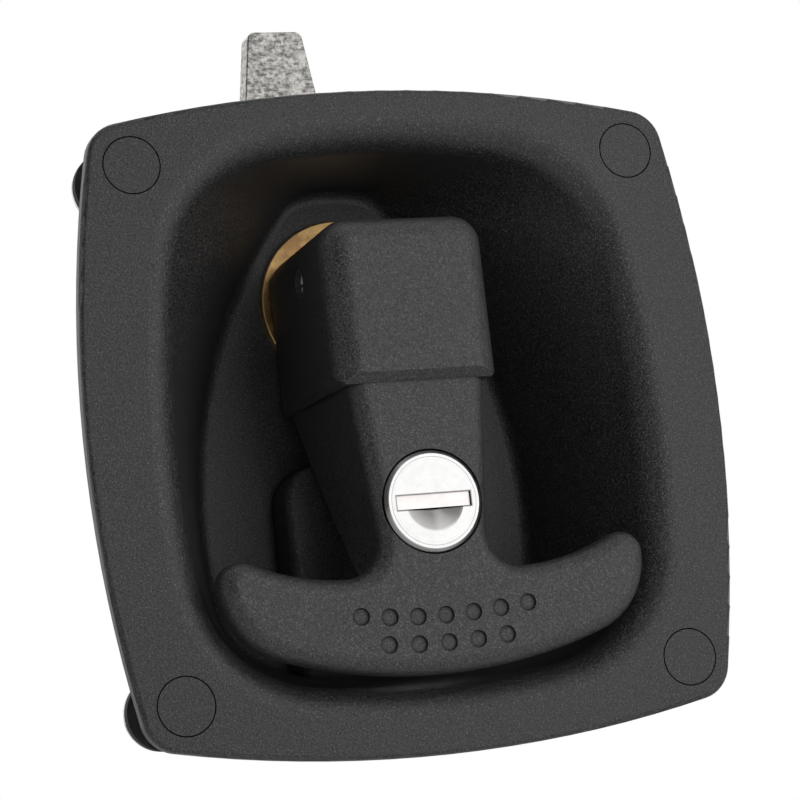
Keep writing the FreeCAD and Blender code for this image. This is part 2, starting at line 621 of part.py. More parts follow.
def nut_body(name, flats, low, high, bore):
    """A hexagon nut with chamfered corners and a plain bore in place of its thread."""
    body = new_body(name)
    slab(body, name + "_hexagon", "Y", low, high, hexagon(flats))
    across, corner = f"{flats} / 2", f"{flats} / sqrt(3)"
    drop = f"({corner} - {across}) / 2"
    for side, level, inward in (("front", low, ""), ("rear", high, "-")):
        outside = f"{corner} + {PAST}"
        slope_end = f"{level} + {inward}({drop} + {PAST} / 2)"
        profile = [(level, across), (level, outside), (slope_end, outside)]
        turned(body, f"{name}_{side}_chamfer", profile, cut=True)
    hole = [("0", "0", bore)]
    slab(body, name + "_bore", "Y", f"{low} - {PAST}", f"{high} + {PAST}", circles=hole, cut=True)
    return body


def make_fixings():
    """The four studs and, on each, its rubber washer, steel washer and nut as supplied."""
    stud = new_body("stud")
    end = "stud_length"
    turned(
        stud,
        "stud_profile",
        [
            (FRONT, "0"),
            (end, "0"),
            (end, "stud_thread_r - stud_tip"),
            (f"{end} - stud_tip", "stud_thread_r"),
            ("stud_shank", "stud_thread_r"),
            ("stud_shank", "stud_r"),
            ("0", "stud_r"),
            ("0", "stud_neck_r"),
            (f"{FRONT} + stud_head_t", "stud_neck_r"),
            (f"{FRONT} + stud_head_t", "stud_head_r"),
            (FRONT, "stud_head_r"),
        ],
    )
    rubber = new_body("rubber_washer")
    seal_end = "washer_at + seal_t"
    turned(rubber, "rubber_profile", tube_profile("washer_at", seal_end, "stud_thread_r", "seal_r"))
    steel = new_body("steel_washer")
    steel_end = f"{seal_end} + washer_t"
    turned(steel, "steel_profile", tube_profile(seal_end, steel_end, "stud_thread_r + run_gap", "washer_r"))
    nut = nut_body("stud_nut", "nut_flats", steel_end, f"{steel_end} + nut_t", "stud_thread_r + seat_gap")
    groups = []
    for body, name in (
        (stud, "mounting_studs"),
        (rubber, "rubber_washers"),
        (steel, "steel_washers"),
        (nut, "stud_nuts"),
    ):
        place(body, x=STUD_AT, z=STUD_AT)
        groups.append(four_of(body, name))
    return groups


def at_spindle(body):
    place(body, z="spindle_up")
    return body


def square(half):
    return rectangle(f"-({half})", half, f"-({half})", half)


def make_bearing():
    """Bush, wear washer and sealing ring of the spindle."""
    bush = new_body("spindle_bush")
    bore, flange_end = "spindle_r + run_gap", f"{BOSS_END} + bush_flange_t"
    turned(
        bush,
        "bush_profile",
        [
            (f"{FLOOR} + seat_gap", bore),
            (flange_end, bore),
            (flange_end, "bush_flange_r"),
            (BOSS_END, "bush_flange_r"),
            (BOSS_END, "bush_r - seat_gap"),
            (f"{FLOOR} + seat_gap", "bush_r - seat_gap"),
        ],
    )
    wear = new_body("wear_washer")
    turned(wear, "wear_profile", tube_profile(WEAR_FRONT, FLOOR, "spindle_r + wear_gap", "wear_r"))
    edge, face = val("wear_r"), val(WEAR_FRONT)
    outer = lambda e: near(e.BoundBox.XMax, edge) and in_plane(e, "Y", face)
    fillet(wear, "wear_round", wear.Tip, "wear_edge", outer)
    seal = new_body("spindle_seal")
    sketch = new_sketch(seal, "seal_section", "X", "0")
    circle(sketch, "ring_at - plate_t", "spindle_r + run_gap - seat_gap - ring_r", "ring_r")
    feature = seal.newObject("PartDesign::Revolution", "seal_turn")
    feature.Profile = sketch
    feature.ReferenceAxis = (sketch, ["H_Axis"])
    feature.Angle = 360
    return [at_spindle(body) for body in (bush, wear, seal)]


def make_spindle():
    """Turned spindle with its tongue, ring groove, square and thread."""
    body = new_body("spindle")
    groove = "(spindle_r - ring_r * 2)"
    square_end, tail_end = f"{CAM_REAR} - cam_nip", f"{NUT_REAR} + spindle_tail"
    turned(
        body,
        "journal",
        [
            (WEAR_FRONT, "0"),
            (STOP_FRONT, "0"),
            (STOP_FRONT, "spindle_r"),
            ("ring_at - plate_t + groove_half", "spindle_r"),
            ("ring_at - plate_t + groove_half", groove),
            ("ring_at - plate_t - groove_half", groove),
            ("ring_at - plate_t - groove_half", "spindle_r"),
            (WEAR_FRONT, "spindle_r"),
        ],
    )
    slab(body, "square_end", "Y", f"{STOP_FRONT} - wall", square_end, square("square_flats / 2"))
    turned(
        body,
        "thread",
        [
            (f"{square_end} - wall", "0"),
            (tail_end, "0"),
            (tail_end, "thread_r - tail_bevel"),
            (f"{tail_end} - tail_bevel", "thread_r"),
            (f"{square_end} - wall", "thread_r"),
        ],
    )
    eye = "tongue_r"
    slab(
        body,
        "tongue",
        "X",
        "-tongue_half",
        "tongue_half",
        [
            (f"{WEAR_FRONT} + wall / 2", eye),
            (PIN_Y, eye, eye, 1),
            (f"{PIN_Y} - {eye}", "0", eye, 1),
            (PIN_Y, f"-{eye}"),
            (f"{WEAR_FRONT} + wall / 2", f"-{eye}"),
        ],
    )
    slab(
        body,
        "pin_bore",
        "X",
        f"-tongue_half - {PAST}",
        f"tongue_half + {PAST}",
        circles=[(PIN_Y, "0", "pin_r + run_gap")],
        cut=True,
    )
    return at_spindle(body)


def disc_spring(number):
    """One dished washer of the stack between stop plate and cam; every second one is turned round."""
    body = new_body(f"disc_spring_{number}")
    low = f"({STOP_REAR} + ({CAM_FRONT} - {STOP_REAR}) * {number} / {DISC_SPRINGS} + seat_gap / 2)"
    high = f"({STOP_REAR} + ({CAM_FRONT} - {STOP_REAR}) * {number + 1} / {DISC_SPRINGS} - seat_gap / 2)"
    rim, hole = "spring_r", "spindle_r + seat_gap"
    if number % 2:
        rim, hole = hole, rim
    turned(
        body,
        f"disc_profile_{number}",
        [(low, hole), (f"{low} + spring_t", hole), (high, rim), (f"{high} - spring_t", rim)],
    )
    return at_spindle(body)


def make_stack():
    """Thrust washer, stop plate, spring, cam, lock washer and nut behind the dish."""
    thrust = new_body("thrust_washer")
    bush_end = f"{BOSS_END} + bush_flange_t"
    turned(
        thrust,
        "thrust_profile",
        tube_profile(f"{bush_end} + seat_gap", STOP_FRONT, "spindle_r + seat_gap", "disc_r"),
    )
    stop = new_body("stop_plate")
    slab(stop, "stop_disc", "Y", STOP_FRONT, STOP_REAR, circles=[("0", "0", "disc_r")])
    arm = []
    for along, across in (("0", "-"), ("stop_reach", "-"), ("stop_reach", ""), ("0", "")):
        arm.append(
            (f"-({along} + {across}stop_arm_half) / sqrt(2)", f"-({along} - {across}stop_arm_half) / sqrt(2)")
        )
    slab(stop, "stop_arm", "Y", STOP_FRONT, STOP_REAR, arm)
    spring = doc.addObject("Part::Compound", "spindle_spring")
    spring.Links = [disc_spring(number) for number in range(DISC_SPRINGS)]
    cam = new_body("cam")
    shoulder = "cam_hub_r * (cam_hub_r - cam_tip_half) / cam_reach"
    cheek = f"sqrt(cam_hub_r ^ 2 - ({shoulder}) ^ 2)"
    lever = slab(
        cam,
        "lever",
        "Y",
        CAM_FRONT,
        CAM_REAR,
        [
            (f"-{cheek}", shoulder, "cam_hub_r", 1),
            ("0", "-cam_hub_r", "cam_hub_r", 1),
            (cheek, shoulder),
            ("cam_tip_half", "cam_reach"),
            ("-cam_tip_half", "cam_reach"),
        ],
    )
    tip, thick = val("cam_reach"), val("cam_t")
    upright = lambda e: in_plane(e, "Z", tip) and near(e.Length, thick)
    lever = fillet(cam, "tip_corners", lever, "cam_corner", upright)
    lever = fillet(
        cam,
        "cam_edges",
        lever,
        "cam_edge",
        lambda e: in_plane(e, "Y", val(CAM_FRONT)) or in_plane(e, "Y", val(CAM_REAR)),
    )
    for body, name, low, high in (
        (stop, "stop_square", STOP_FRONT, STOP_REAR),
        (cam, "cam_square", CAM_FRONT, CAM_REAR),
    ):
        hole = square("square_flats / 2 + seat_gap")
        slab(body, name, "Y", f"{low} - {PAST}", f"{high} + {PAST}", hole, cut=True)
    lock_washer = new_body("lock_washer")
    turned(
        lock_washer,
        "lock_washer_profile",
        tube_profile(CAM_REAR, NUT_FRONT, "thread_r + run_gap", "lock_washer_r"),
    )
    slab(
        lock_washer,
        "lock_washer_split",
        "Y",
        f"{CAM_REAR} - {PAST}",
        f"{NUT_FRONT} + {PAST}",
        rectangle("0", "lock_washer_r * 2", "-lock_washer_t / 4", "lock_washer_t / 4"),
        cut=True,
    )
    nut = nut_body("cam_nut", "cam_nut_flats", NUT_FRONT, NUT_REAR, "thread_r + seat_gap")
    return [spring] + [at_spindle(body) for body in (thrust, stop, cam, lock_washer, nut)]


def stem_half(level):
    """Half width of the stem's front at a level."""
    narrowing = f"(stem_top_half - stem_waist_half) / ({HUB_BOTTOM} + {WAIST_DOWN})"
    return f"(stem_top_half - ({HUB_BOTTOM} - ({level})) * {narrowing})"


def whale_tail():
    """Outline of stem and grip: the stem's straight sides run by tangent arcs into tips, toes and sole."""
    top = f"({HUB_BOTTOM} + wall)"
    brow_z = f"(grip_brow_arc - {DIP_DOWN})"
    flare_x = "(stem_waist_half + stem_flare)"
    flare_z = f"({brow_z} - sqrt((grip_brow_arc - stem_flare) ^ 2 - ({flare_x} - grip_dip) ^ 2))"
    rise, lean = f"({top} - {flare_z})", f"(stem_top_half - {flare_x})"
    reach = f"({rise} ^ 2 + {lean} ^ 2)"
    turn = f"(stem_flare * sqrt({reach} - stem_flare ^ 2) / {reach})"
    waist = (
        f"{flare_x} + stem_flare ^ 2 / {reach} * {lean} - {turn} * {rise}",
        f"{flare_z} + stem_flare ^ 2 / {reach} * {rise} + {turn} * {lean}",
    )
    inner = "grip_brow_arc / (grip_brow_arc - stem_flare)"
    armpit = (f"grip_dip + ({flare_x} - grip_dip) * {inner}", f"{brow_z} + ({flare_z} - {brow_z}) * {inner}")
    tip_x, tip_out = f"({GRIP_HALF} - grip_tip_arc)", "(grip_brow_arc + grip_tip_arc)"
    tip_drop = f"sqrt({tip_out} ^ 2 - ({tip_x} - grip_dip) ^ 2)"
    tip_z = f"({brow_z} - {tip_drop})"
    horn = (
        f"grip_dip + ({tip_x} - grip_dip) * grip_brow_arc / {tip_out}",
        f"{brow_z} - {tip_drop} * grip_brow_arc / {tip_out}",
    )
    sole_z = f"(grip_sole_arc - {GRIP_BOTTOM})"
    toe_room = f"(grip_sole_arc ^ 2 - {GRIP_HALF} ^ 2 - ({sole_z} - {tip_z}) ^ 2)"
    toe = f"({toe_room} / (2 * (grip_sole_arc - {GRIP_HALF})))"
    spread = f"grip_sole_arc / (grip_sole_arc - {toe})"
    heel = (f"({GRIP_HALF} - {toe}) * {spread}", f"{sole_z} - ({sole_z} - {tip_z}) * {spread}")
    right = [
        (*heel, toe, 1),
        (GRIP_HALF, tip_z, "grip_tip_arc", 1),
        (*horn, "grip_brow_arc", -1),
        (*armpit, "stem_flare", -1),
        waist,
        ("stem_top_half", top),
    ]
    arcs = [corner[2:] for corner in right[3::-1]] + [("grip_sole_arc", 1)]
    left = [(f"-({corner[0]})", corner[1], *arc) for corner, arc in zip(right[::-1], [(), *arcs])]
    return right + left


def make_handle():
    """Cast whale-tail handle: grip and stem, hub, and the cuts for tongue, pin, lock and dimples."""
    body = new_body("handle")
    grip = slab(body, "whale_tail", "Y", STEM_FRONT, GRIP_REAR, whale_tail())
    front, rear, ceiling, waist = val(STEM_FRONT), val(GRIP_REAR), val(HUB_BOTTOM), -val(WAIST_DOWN)
    ahead_rim = lambda e: in_plane(e, "Y", front) and e.BoundBox.ZMin < ceiling
    grip = fillet(body, "grip_front_round", grip, "grip_edge", ahead_rim)
    rear_rim = lambda e: in_plane(e, "Y", rear) and e.BoundBox.ZMax < waist
    fillet(body, "grip_rear_round", grip, "grip_back_edge", rear_rim)
    stations = [
        (f"{HUB_BOTTOM} + wall", "(hub_half - hub_lean) - stem_tuck", "hub_rear - stem_tuck"),
        (f"stem_upper_over - {LOCK_DOWN}", "(stem_rear_half + (hub_half - hub_lean)) / 2", "stem_upper_depth"),
        (f"-{LOCK_DOWN} - stem_lower_under", "stem_rear_half", "stem_lower_depth"),
        (f"-{DIP_DOWN}", "stem_rear_half", "grip_t - stem_proud"),
    ]
    sections = []
    for number, (level, half, depth) in enumerate(stations):
        sketch = new_sketch(body, f"stem_section_{number}", "Z", level)
        near_half = f"({stem_half(level)} - stem_tuck)"
        start, end = f"{STEM_FRONT} + stem_core", f"{depth} - plate_t"
        outline(sketch, [(f"-({near_half})", start), (near_half, start), (half, end), (f"-({half})", end)])
        sections.append(sketch)
    stem = body.newObject("PartDesign::AdditiveLoft", "stem_rear")
    stem.Profile = sections[0]
    stem.Sections = sections[1:]
    stem.Ruled = False
    doc.recompute()
    halves = []
    for name, level, half in (("hub_front", HUB_FRONT, "hub_half"), ("hub_back", HUB_REAR, "(hub_half - hub_lean)")):
        sketch = new_sketch(body, name, "Y", level)
        outline(
            sketch,
            [
                (f"-{half}", HUB_BOTTOM),
                (half, HUB_BOTTOM),
                (half, f"{HUB_TOP} - hub_crown", "hub_crown", 1),
                (f"{half} - hub_crown", HUB_TOP),
                (f"hub_crown - {half}", HUB_TOP, "hub_crown", 1),
                (f"-{half}", f"{HUB_TOP} - hub_crown"),
            ],
        )
        halves.append(sketch)
    hub = body.newObject("PartDesign::AdditiveLoft", "hub")
    hub.Profile = halves[0]
    hub.Sections = halves[1:]
    hub.Ruled = True
    doc.recompute()
    hub_front, foot = val(HUB_FRONT), val(HUB_BOTTOM) + 0.1
    fillet(
        body,
        "hub_front_round",
        hub,
        "hub_corner",
        lambda e: in_plane(e, "Y", hub_front) and e.BoundBox.ZMax > foot,
    )
    run = f"hub_step + {PAST}"
    front_wedge = [
        (f"{HUB_FRONT} + hub_step", HUB_BOTTOM),
        (f"{HUB_FRONT} - {PAST}", f"{HUB_BOTTOM} + {run}"),
        (f"{HUB_FRONT} - {PAST}", HUB_BOTTOM),
    ]
    slab(body, "hub_front_step", "X", f"-hub_half - {PAST}", f"hub_half + {PAST}", front_wedge, cut=True)
    for name, side in (("right", ""), ("left", "-")):
        side_wedge = [
            (f"{side}(hub_half - hub_step)", HUB_BOTTOM),
            (f"{side}(hub_half + {PAST})", HUB_BOTTOM),
            (f"{side}(hub_half + {PAST})", f"{HUB_BOTTOM} + {run}"),
        ]
        ends = f"{HUB_FRONT} - {PAST}", f"{HUB_REAR} + {PAST}"
        slab(body, f"hub_{name}_step", "Y", *ends, side_wedge, cut=True)
    slab(
        body,
        "hub_heel_cut",
        "X",
        f"-hub_half - {PAST}",
        f"hub_half + {PAST}",
        [
            (f"{HUB_REAR} - hub_heel", HUB_TOP),
            (f"{HUB_REAR} - hub_heel", f"{HUB_TOP} + {PAST}"),
            (f"{HUB_REAR} + {PAST}", f"{HUB_TOP} + {PAST}"),
            (f"{HUB_REAR} + {PAST}", f"{HUB_TOP} - hub_heel"),
            (HUB_REAR, f"{HUB_TOP} - hub_heel", "hub_heel", 1),
        ],
        cut=True,
    )
    boss = [("0", f"-{LOCK_DOWN}", "lock_r + lock_web")]
    slab(body, "lock_boss", "Y", f"{STEM_FRONT} + stem_core", LOCK_WEB_REAR, circles=boss)
    swing = "(tongue_r + tongue_swing_gap)"
    half = "tongue_half + tongue_side_gap"
    behind, above = f"{HUB_REAR} + {PAST}", f"{HUB_TOP} + {PAST}"
    slab(
        body,
        "tongue_slot",
        "X",
        f"-({half})",
        half,
        [
            (PIN_Y, f"spindle_up - {swing}"),
            (behind, f"spindle_up - {swing}"),
            (behind, above),
            (f"{PIN_Y} - {swing}", above),
            (f"{PIN_Y} - {swing}", "spindle_up", swing, 1),
        ],
        cut=True,
    )
    slab(
        body,
        "pin_hole",
        "X",
        f"-hub_half - {PAST}",
        f"hub_half + {PAST}",
        circles=[(PIN_Y, "spindle_up", "pin_r + seat_gap")],
        cut=True,
    )
    ahead = f"{STEM_FRONT} - {PAST}"
    head = [("0", f"-{LOCK_DOWN}", "lock_r + lock_gap")]
    slab(body, "lock_bore", "Y", ahead, LOCK_SEAT, circles=head, cut=True)
    slab(
        body,
        "lock_hole",
        "Y",
        ahead,
        f"{LOCK_WEB_REAR} + {PAST}",
        circles=[("0", f"-{LOCK_DOWN}", "lock_thread_r + run_gap")],
        cut=True,
    )
    cavity = rectangle(
        "-cavity_half", "cavity_half", f"-{LOCK_DOWN} - cavity_high", f"-{LOCK_DOWN} + cavity_high"
    )
    slab(body, "stem_cavity", "Y", LOCK_WEB_REAR, behind, cavity, cut=True)
    rows = [("dimple_upper_over", "dimple_upper_pitch", 3), ("dimple_lower_over", "dimple_lower_pitch", 2)]
    spots = []
    for over, pitch, reach in rows:
        for n in range(-reach, reach + 1):
            rise = f"dimple_arc - sqrt(dimple_arc ^ 2 - ({pitch} * {n}) ^ 2)"
            spots.append((f"{pitch} * {n}" if n else "0", f"{over} - {GRIP_BOTTOM} + {rise}", "dimple_r"))
    slab(body, "dimples", "Y", ahead, f"{STEM_FRONT} + dimple_t", circles=spots, cut=True)
    return body


def make_pivot_pin():
    """Rolled spring pin that the handle swings on."""
    body = new_body("pivot_pin")
    reach = "(hub_half - hub_lean) - pin_recess"
    slab(
        body,
        "pin_tube",
        "X",
        f"-({reach})",
        reach,
        circles=[(PIN_Y, "spindle_up", "pin_r"), (PIN_Y, "spindle_up", "pin_r - pin_wall")],
    )
    slit = rectangle(PIN_Y, f"{PIN_Y} + pin_r * 2", "spindle_up - pin_wall / 2", "spindle_up + pin_wall / 2")
    slab(body, "pin_slit", "X", f"-({reach}) - {PAST}", f"{reach} + {PAST}", slit, cut=True)
    return body


def at_lock(body):
    place(body, z=f"-{LOCK_DOWN}")
    return body


def make_lock():
    """Key lock: body, ring nut, plug, dust shutter with its wire, wafers, locking finger and its screw."""
    shell = new_body("lock_body")
    head_bore, tail_bore = "plug_r + plug_gap", "plug_tail_r + plug_gap"
    turned(
        shell,
        "lock_shell",
        [
            (LOCK_FACE, head_bore),
            (f"{PLUG_HEAD_END} + plug_gap", head_bore),
            (f"{PLUG_HEAD_END} + plug_gap", tail_bore),
            (LOCK_END, tail_bore),
            (LOCK_END, "lock_thread_r"),
            (LOCK_SEAT, "lock_thread_r"),
            (LOCK_SEAT, "lock_r"),
            (f"{LOCK_FACE} + lock_bevel", "lock_r"),
            (LOCK_FACE, "lock_r - lock_bevel"),
        ],
    )
    nut = new_body("lock_nut")
    nut_end = f"{LOCK_WEB_REAR} + lock_nut_t"
    turned(nut, "nut_ring", tube_profile(LOCK_WEB_REAR, nut_end, "lock_thread_r + seat_gap", "lock_nut_r"))
    notch = rectangle("-lock_nut_r * 2", "lock_nut_r * 2", "-wall / 2", "wall / 2")
    slab(nut, "nut_notches", "Y", f"{nut_end} - lock_nut_t / 2", f"{nut_end} + {PAST}", notch, cut=True)
    plug = new_body("key_plug")
    tail_start = f"{LOCK_END} + plug_gap"
    turned(
        plug,
        "plug_profile",
        [
            (LOCK_FACE, "0"),
            (tail_start, "0"),
            (tail_start, "plug_tail_r"),
            (PLUG_HEAD_END, "plug_tail_r"),
            (PLUG_HEAD_END, "plug_r"),
            (LOCK_FACE, "plug_r"),
        ],
    )
    tail_end = f"{FINGER_REAR} - seat_gap"
    slab(plug, "plug_tail", "Y", f"{tail_start} - wall", tail_end, square("tail_half"))
    mouth = rectangle("-keyway_half", "keyway_half", "-keyway_high", "keyway_high")
    room_end = f"{SHUTTER_Y} + shutter_room"
    slab(plug, "keyway_mouth", "Y", f"{LOCK_FACE} - {PAST}", room_end, mouth, cut=True)
    knuckle = "shutter_pin_r * 2"
    hinge_up = f"(keyway_high + {knuckle} - shutter_pin_r / 2)"
    hinge_y = f"({SHUTTER_Y} + {knuckle})"
    room_half, ceiling = "(keyway_half + shutter_gap)", f"{hinge_up} + {knuckle} + shutter_gap"
    room = rectangle(f"-{room_half}", room_half, "-keyway_high - shutter_gap", ceiling)
    slab(plug, "shutter_chamber", "Y", f"{SHUTTER_Y} - shutter_gap", room_end, room, cut=True)
    blade = rectangle("-blade_half", "blade_half", "-blade_high", "blade_high")
    slab(plug, "keyway", "Y", SHUTTER_Y, f"{LOCK_END} - wall", blade, cut=True)
    wire_reach = f"{room_half} + shutter_pin_r"
    slab(
        plug,
        "wire_holes",
        "X",
        f"-({wire_reach})",
        wire_reach,
        circles=[(hinge_y, hinge_up, "shutter_pin_r + seat_gap")],
        cut=True,
    )
    scoop = [
        (f"{LOCK_FACE} - {PAST}", "0"),
        (f"{LOCK_FACE} + scoop_t", "0"),
        (LOCK_FACE, "-scoop_r"),
        (f"{LOCK_FACE} - {PAST}", "-scoop_r"),
    ]
    turned(plug, "scoop", scoop, cut=True, angle=180)
    slab(
        plug,
        "screw_hole",
        "Y",
        f"{FINGER_REAR} - screw_length - {PAST} / 4",
        f"{tail_end} + {PAST}",
        circles=[("0", "0", "screw_r + seat_gap")],
        cut=True,
    )
    wafers = []
    first = "wafer_start - plate_t"
    for number in range(int(val("wafer_count"))):
        low = f"({first} + wafer_pitch * {number})"
        high = f"({low} + wafer_t)"
        slot_half, slot_high = "(wafer_half + wafer_gap)", "(wafer_high + wafer_gap)"
        slab(
            plug,
            f"wafer_slot_{number}",
            "Y",
            f"{low} - wafer_gap",
            f"{high} + wafer_gap",
            rectangle(f"-{slot_half}", slot_half, f"-{slot_high}", slot_high),
            cut=True,
        )
        wafer = new_body(f"wafer_{number}")
        slab(
            wafer,
            f"wafer_plate_{number}",
            "Y",
            low,
            high,
            rectangle("-wafer_half", "wafer_half", "-wafer_high", "wafer_high"),
        )
        slab(wafer, f"wafer_window_{number}", "Y", f"{low} - {PAST}", f"{high} + {PAST}", blade, cut=True)
        wafers.append(at_lock(wafer))
    wafer_set = doc.addObject("Part::Compound", "wafers")
    wafer_set.Links = wafers
    shutter = new_body("dust_shutter")
    flap_half = "(keyway_half - shutter_gap)"
    flap = rectangle(f"-{flap_half}", flap_half, "-keyway_high + shutter_gap", hinge_up)
    slab(shutter, "shutter_flap", "Y", SHUTTER_Y, f"{SHUTTER_Y} + shutter_t", flap)
    slab(shutter, "shutter_knuckle", "X", f"-{flap_half}", flap_half, circles=[(hinge_y, hinge_up, knuckle)])
    slab(
        shutter,
        "shutter_bore",
        "X",
        f"-keyway_half - {PAST}",
        f"keyway_half + {PAST}",
        circles=[(hinge_y, hinge_up, "shutter_pin_r + run_gap")],
        cut=True,
    )
    wire = new_body("shutter_wire")
    slab(
        wire,
        "wire_rod",
        "X",
        f"-({wire_reach}) + seat_gap",
        f"{wire_reach} - seat_gap",
        circles=[(hinge_y, hinge_up, "shutter_pin_r")],
    )
    finger = new_body("locking_finger")
    slab(finger, "finger_eye", "Y", FINGER_FRONT, FINGER_REAR, circles=[("0", "0", "finger_eye_r")])
    arm = rectangle("-finger_half", "finger_half", "-finger_reach", "0")
    slab(finger, "finger_arm", "Y", FINGER_FRONT, FINGER_REAR, arm)
    slab(
        finger,
        "finger_square",
        "Y",
        f"{FINGER_FRONT} - {PAST}",
        f"{FINGER_REAR} + {PAST}",
        square("tail_half + seat_gap"),
        cut=True,
    )
    screw = new_body("finger_screw")
    turned(
        screw,
        "screw_profile",
        [
            (f"{FINGER_REAR} - screw_length", "0"),
            (f"{FINGER_REAR} + screw_head_t", "0"),
            (f"{FINGER_REAR} + screw_head_t", "screw_head_r - screw_head_t / 2"),
            (f"{FINGER_REAR} + screw_head_t / 2", "screw_head_r"),
            (FINGER_REAR, "screw_head_r"),
            (FINGER_REAR, "screw_r"),
            (f"{FINGER_REAR} - screw_length", "screw_r"),
        ],
    )
    slab(
        screw,
        "screw_slot",
        "Y",
        f"{FINGER_REAR} + screw_head_t / 2",
        f"{FINGER_REAR} + screw_head_t + {PAST}",
        rectangle("-screw_head_r * 2", "screw_head_r * 2", "-screw_r / 4", "screw_r / 4"),
        cut=True,
    )
    pieces = [at_lock(b) for b in (shell, nut, plug, shutter, wire, finger, screw)]
    return pieces + [wafer_set]


pan = make_pan()
add_tower(pan)
add_bores(pan)
parts = [pan] + make_fixings() + make_bearing() + [make_spindle()] + make_stack()
parts += [make_handle(), make_pivot_pin()] + make_lock()
doc.recompute()

failed = [o.Label for o in doc.Objects if "Invalid" in o.State or "Error" in o.State]
if failed:
    raise RuntimeError(f"these failed: {failed}")
for piece in parts:
    if piece.Shape.isNull() or not piece.Shape.isValid() or not piece.Shape.Solids:
        raise RuntimeError(f"{piece.Label} has no valid solid")

os.makedirs("parts", exist_ok=True)
for piece in parts:
    piece.Shape.exportStep(f"parts/{piece.Label}.step")
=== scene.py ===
import math

import bpy
from mathutils import Matrix, Vector


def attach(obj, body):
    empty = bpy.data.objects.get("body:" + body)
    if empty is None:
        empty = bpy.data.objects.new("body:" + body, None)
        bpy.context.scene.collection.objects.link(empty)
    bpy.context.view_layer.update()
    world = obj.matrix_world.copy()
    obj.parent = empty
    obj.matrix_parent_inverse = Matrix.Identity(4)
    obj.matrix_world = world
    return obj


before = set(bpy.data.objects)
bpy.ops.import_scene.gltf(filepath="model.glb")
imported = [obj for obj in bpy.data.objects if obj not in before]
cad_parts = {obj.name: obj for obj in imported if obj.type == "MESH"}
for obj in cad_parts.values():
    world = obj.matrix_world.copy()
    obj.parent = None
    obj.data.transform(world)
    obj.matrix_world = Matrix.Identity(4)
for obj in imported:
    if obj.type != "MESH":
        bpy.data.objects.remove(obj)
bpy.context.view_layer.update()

MM = 0.001
MM_PER_METRE = 1000.0
STUD_AT = 50 * MM
SPINDLE_UP = 28.9 * MM
LOCK_DOWN = -16.8 * MM
LOCK_FACE = -7.4 * MM
KEYWAY = (7.35 * MM, 1.37 * MM)
WASHER_HIGHLIGHT_RIM = 16.5 * MM
STUD_COAT_END = -1.5 * MM
CORNER_REACH = 0.9 * MM

PAN_COAT = (0.021, 0.0213, 0.0222)
HANDLE_COAT = (0.031, 0.0315, 0.0327)
# Tone of the pale specks painted into the coat as glints.
COAT_GLINT_TONE = (0.19, 0.191, 0.196)
COAT_SPECULAR = 0.65


# Materials

class Nodes:
    """Short calls that add nodes to a tree and link them."""

    def __init__(self, tree):
        self.tree = tree

    def node(self, kind, **settings):
        made = self.tree.nodes.new(kind)
        for key, value in settings.items():
            setattr(made, key, value)
        return made

    def feed(self, socket, value):
        if isinstance(value, bpy.types.NodeSocket):
            self.tree.links.new(value, socket)
        else:
            socket.default_value = value

    def math(self, operation, a, b=0.0):
        made = self.node("ShaderNodeMath", operation=operation)
        self.feed(made.inputs[0], a)
        self.feed(made.inputs[1], b)
        return made.outputs[0]


